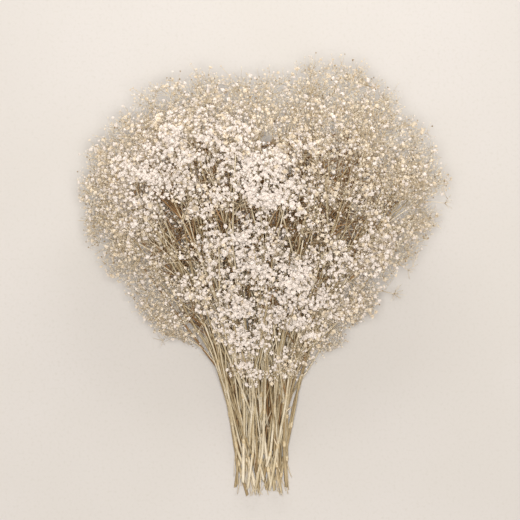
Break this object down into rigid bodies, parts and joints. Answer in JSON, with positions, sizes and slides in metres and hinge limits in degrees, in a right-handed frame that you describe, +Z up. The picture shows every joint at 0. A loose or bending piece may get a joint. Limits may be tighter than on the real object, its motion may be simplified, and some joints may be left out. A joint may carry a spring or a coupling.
{
  "type": "dried gypsophila bunch",
  "caption": "Bunch of cut, dried gypsophila stems lying on its side: stalks gathered at one end and fanning out to a rounded head of small double florets and buds.",
  "frame": {"origin": "on the table, under the middle of the whole bunch's box", "axes": "+Y from the cut ends to the flowers, +Z up from the table, +X across the bunch to the right as seen from above with the flowers at the top"},
  "size_m": [0.373, 0.4424, 0.1987],
  "materials": {
    "stem": "dry, matt straw-coloured stalk",
    "petal": "papery, matt cream petal"
  },
  "bodies": {
    "root": {"stem_01": "stem", "stem_02": "stem", "stem_03": "stem", "stem_04": "stem", "stem_05": "stem", "stem_06": "stem", "stem_07": "stem", "stem_08": "stem", "stem_09": "stem", "stem_10": "stem", "stem_11": "stem", "stem_12": "stem", "stem_13": "stem", "stem_14": "stem", "stem_15": "stem", "stem_16": "stem", "stem_17": "stem", "stem_18": "stem", "stem_19": "stem", "stem_20": "stem", "stem_21": "stem", "stem_22": "stem", "stem_23": "stem", "stem_24": "stem", "stem_25": "stem", "stem_26": "stem", "stem_27": "stem", "stem_28": "stem", "stem_29": "stem", "stem_30": "stem", "stem_31": "stem", "stem_32": "stem", "stem_33": "stem", "stem_34": "stem", "stem_35": "stem", "stem_36": "stem"}
  },
  "joints": []
}
